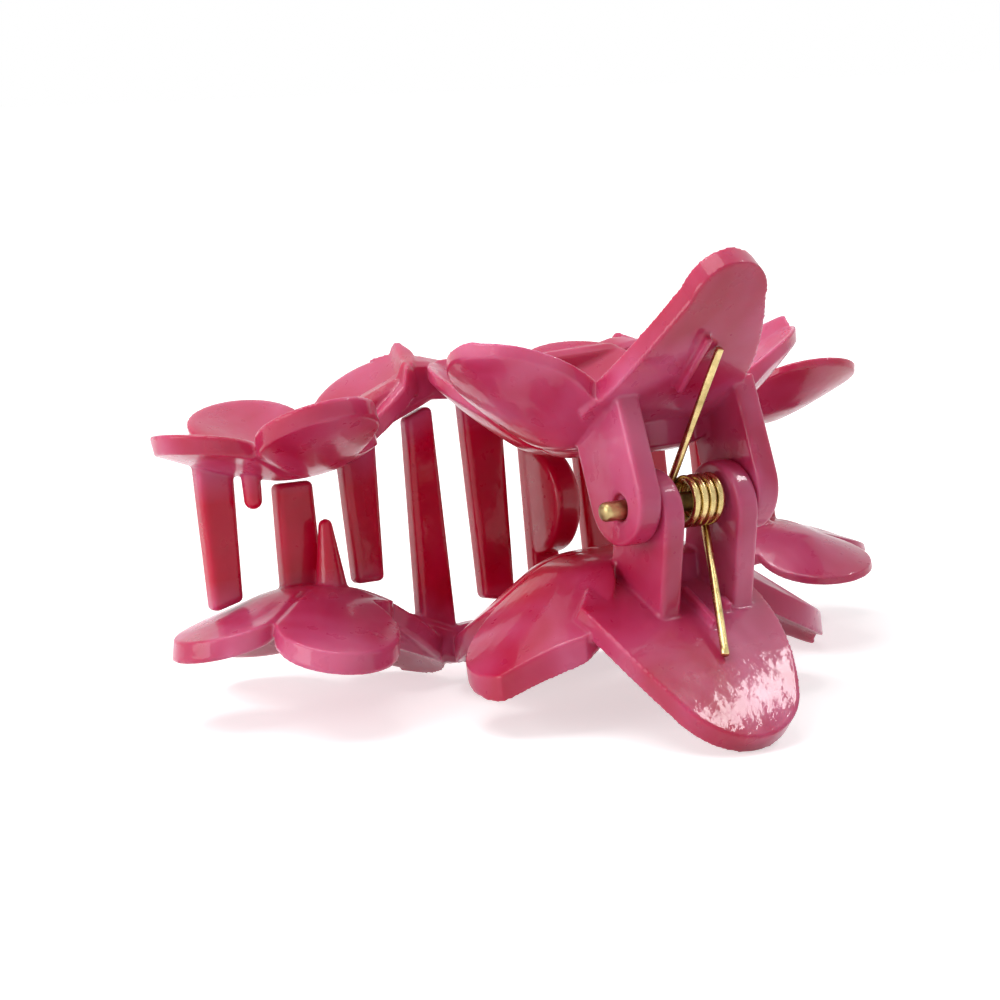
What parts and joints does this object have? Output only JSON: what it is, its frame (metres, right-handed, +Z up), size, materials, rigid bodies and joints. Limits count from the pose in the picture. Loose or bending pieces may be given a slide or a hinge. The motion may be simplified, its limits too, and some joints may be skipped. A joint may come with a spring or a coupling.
{
  "type": "claw clip",
  "caption": "Claw hair clip with flower-shaped jaws: two toothed jaws on a sprung hinge, opened by squeezing the petal handles.",
  "frame": {"origin": "bottom centre of the bounding box of the closed clip, lying on its lower jaw", "axes": "+X along the hinge pin and the length of the clip, +Y from the handles toward the teeth, +Z up"},
  "size_m": [0.0908, 0.0628, 0.0488],
  "materials": {
    "jaw_plastic": "gloss",
    "pin_metal": "satin",
    "spring_metal": "gloss"
  },
  "bodies": {
    "lower": {"lower_jaw": "jaw_plastic", "hinge_pin": "pin_metal", "torsion_spring": "spring_metal"},
    "upper": {"upper_jaw": "jaw_plastic"}
  },
  "joints": [
    {"name": "jaw_hinge", "type": "hinge", "parent": "lower", "child": "upper", "pos_m": [0.00049, -0.0154, 0.0226], "axis": [1, 0, 0], "range_deg": [0, 95], "stiffness_Nm_per_rad": 0.06, "springref_deg": -74.48, "deforming": ["torsion_spring"]}
  ]
}
